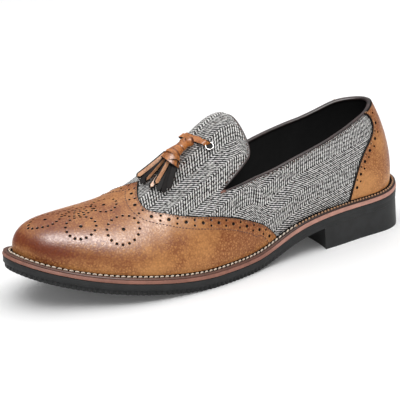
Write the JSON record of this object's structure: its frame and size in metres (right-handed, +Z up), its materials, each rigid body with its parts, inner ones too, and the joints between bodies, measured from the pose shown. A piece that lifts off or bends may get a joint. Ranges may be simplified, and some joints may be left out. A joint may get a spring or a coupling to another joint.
{
  "type": "tassel loafer",
  "caption": "Left slip-on loafer: herringbone tweed vamp with a tall flap, brogued leather wingtip and heel counter, a tassel, stitched welt and black block-heeled sole.",
  "frame": {"origin": "on the floor, under the middle of the shoe's box", "axes": "+X from heel to toe, +Y to the outer (lateral) side, +Z up"},
  "size_m": [0.304, 0.1017, 0.1006],
  "materials": {
    "black_rubber": "satin moulded",
    "welt_leather": "satin",
    "black_lining": "matt",
    "grey_tweed": "woven herringbone",
    "tan_leather": "burnished",
    "brown_leather": "satin",
    "steel": "polished"
  },
  "bodies": {
    "root": {"outsole": "black_rubber", "welt": "welt_leather", "insole": "black_lining", "upper": "grey_tweed", "wingtip": "tan_leather", "heel_counter": "tan_leather", "collar_binding": "brown_leather", "eyelet_lateral": "steel", "eyelet_medial": "steel", "lace": "tan_leather", "knot": "tan_leather", "tassel": "tan_leather"}
  },
  "joints": []
}
